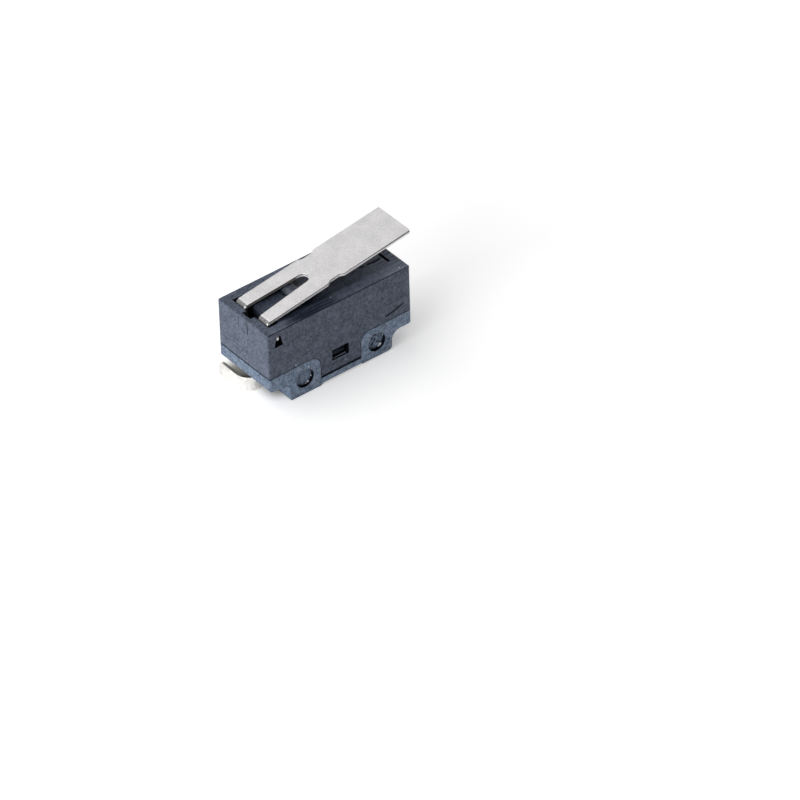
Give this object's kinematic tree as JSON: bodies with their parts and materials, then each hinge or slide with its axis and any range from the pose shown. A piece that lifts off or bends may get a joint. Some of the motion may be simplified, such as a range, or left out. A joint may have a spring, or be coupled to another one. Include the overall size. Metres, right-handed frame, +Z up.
{
  "type": "micro switch",
  "caption": "Subminiature snap-action switch with a forked hinge lever over a plunger, a two-part snap-together case and folded strip terminals.",
  "frame": {"origin": "middle of the base's flat underside, between the two lugs", "axes": "+X along the body from the hinge end to the lever's tip, +Y across it towards the side where the terminals end, +Z up to the lever"},
  "size_m": [0.014, 0.0058, 0.0088],
  "materials": {
    "base_plastic": "fine mottled grey-black moulding",
    "cover_plastic": "satin grey-black moulding",
    "lever_steel": "satin stainless sheet",
    "plunger_plastic": "slightly glossy black moulding",
    "terminal_plate": "bright tin plate on brass strip",
    "blade_copper": "rolled copper alloy spring strip",
    "contact_silver": "silver alloy"
  },
  "bodies": {
    "housing": {"base": "base_plastic", "cover": "cover_plastic", "common_terminal": "terminal_plate", "closed_terminal": "terminal_plate", "fixed_contact": "contact_silver"},
    "lever": {"lever": "lever_steel"},
    "plunger": {"plunger": "plunger_plastic"},
    "blade": {"moving_blade": "blade_copper", "moving_contact": "contact_silver"}
  },
  "joints": [
    {"name": "lever_pivot", "type": "hinge", "parent": "housing", "child": "lever", "pos_m": [-0.00545, 0, 0.00575], "axis": [0, 1, 0], "range_deg": [0, 6], "stiffness_Nm_per_rad": 0.00012, "springref_deg": -5.73},
    {"name": "plunger_slide", "type": "slide", "parent": "housing", "child": "plunger", "axis": [0, 0, -1], "range_m": [0, 0.000386]},
    {"name": "blade_swing", "type": "hinge", "parent": "housing", "child": "blade", "pos_m": [-0.0042, 0, 0.00385], "axis": [0, 1, 0], "range_deg": [0, 3.6], "stiffness_Nm_per_rad": 0.000018, "springref_deg": -5.73}
  ],
  "couplings": [
    {"joint": "lever_pivot", "follows": "plunger_slide", "rad_per_m": 271.29},
    {"joint": "blade_swing", "follows": "plunger_slide", "rad_per_m": 158.25}
  ]
}
